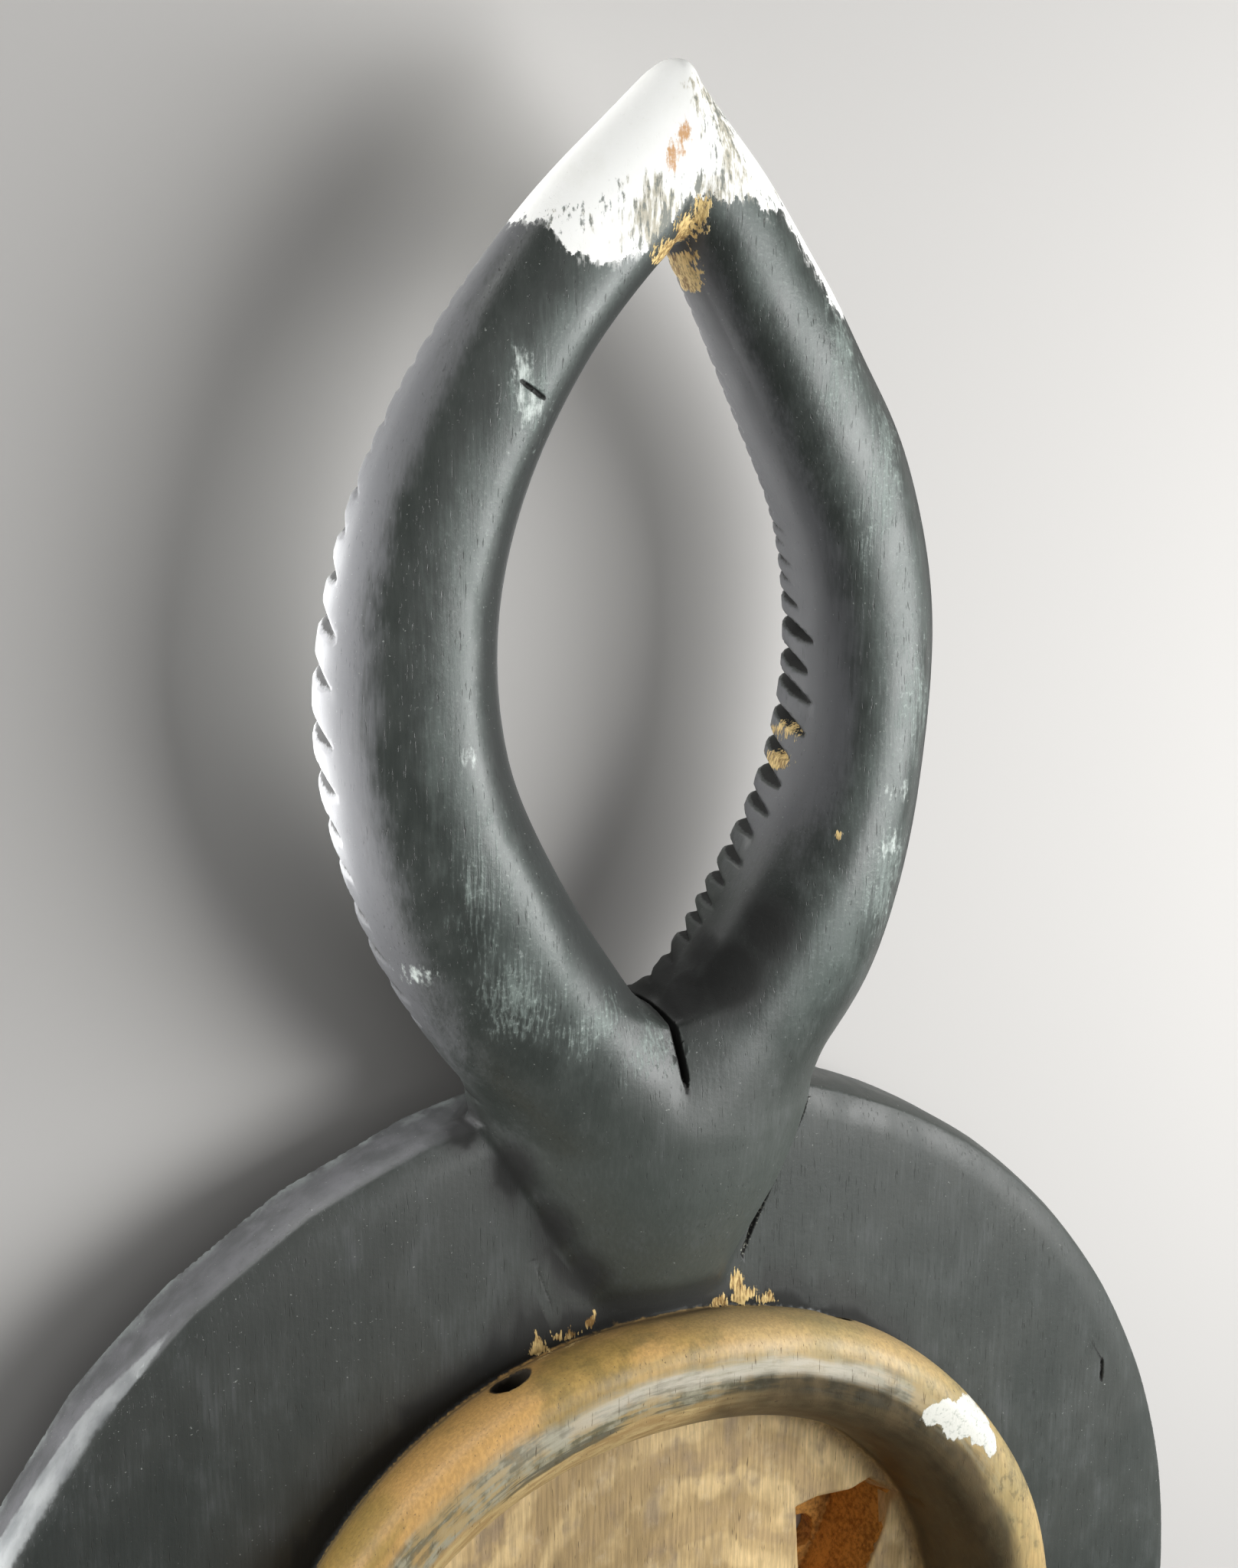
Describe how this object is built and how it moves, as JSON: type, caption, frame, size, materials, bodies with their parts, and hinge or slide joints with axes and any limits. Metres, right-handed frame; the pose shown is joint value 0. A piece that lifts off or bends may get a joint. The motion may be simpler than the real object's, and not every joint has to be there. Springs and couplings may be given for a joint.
{
  "type": "goli mask",
  "caption": "Round carved wooden dance mask with two notched horns that close into one tip and a rimmed hollow for the wearer's face on its back.",
  "frame": {"origin": "under the middle of the mask's outline, on the surface that it lies on, face down", "axes": "+Y towards the horn tip, +Z out of the back, +X to the right as seen from the back with the horns up"},
  "size_m": [0.41, 0.6822, 0.0765],
  "materials": {
    "painted_wood": "worn satin black paint on carved wood, white paint on the horn tip, bare patinated wood on the rim and in the cavity"
  },
  "bodies": {
    "root": {"goli_mask": "painted_wood"}
  },
  "joints": []
}
